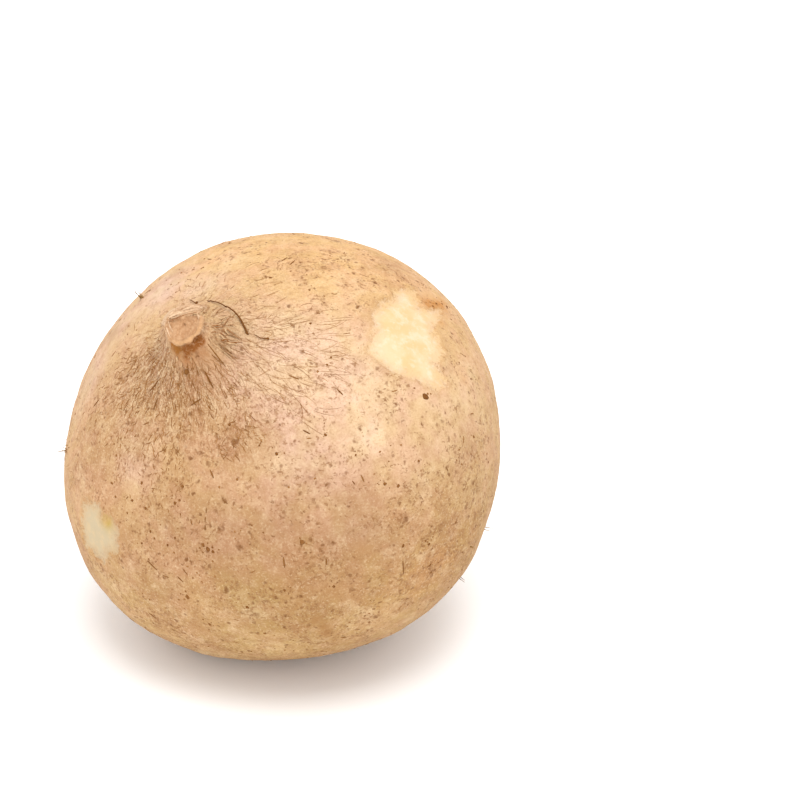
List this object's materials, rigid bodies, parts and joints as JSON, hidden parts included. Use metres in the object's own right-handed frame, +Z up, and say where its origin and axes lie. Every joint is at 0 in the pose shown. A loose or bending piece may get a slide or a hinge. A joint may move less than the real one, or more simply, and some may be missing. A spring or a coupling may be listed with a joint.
{
  "type": "jicama",
  "caption": "Whole jicama tuber: squat onion-shaped body with tan skin, a drawn-up crown and a cut stem stub, lying on a small flat spot.",
  "frame": {"origin": "under the middle of the tuber's bounding box, on the plane of its resting spot", "axes": "+Z up from the resting spot; the crown and its stem stub lean up towards -Y and -X, the front left"},
  "size_m": [0.1162, 0.1152, 0.1074],
  "materials": {
    "skin": "matte"
  },
  "bodies": {
    "root": {"jicama": "skin"}
  },
  "joints": []
}
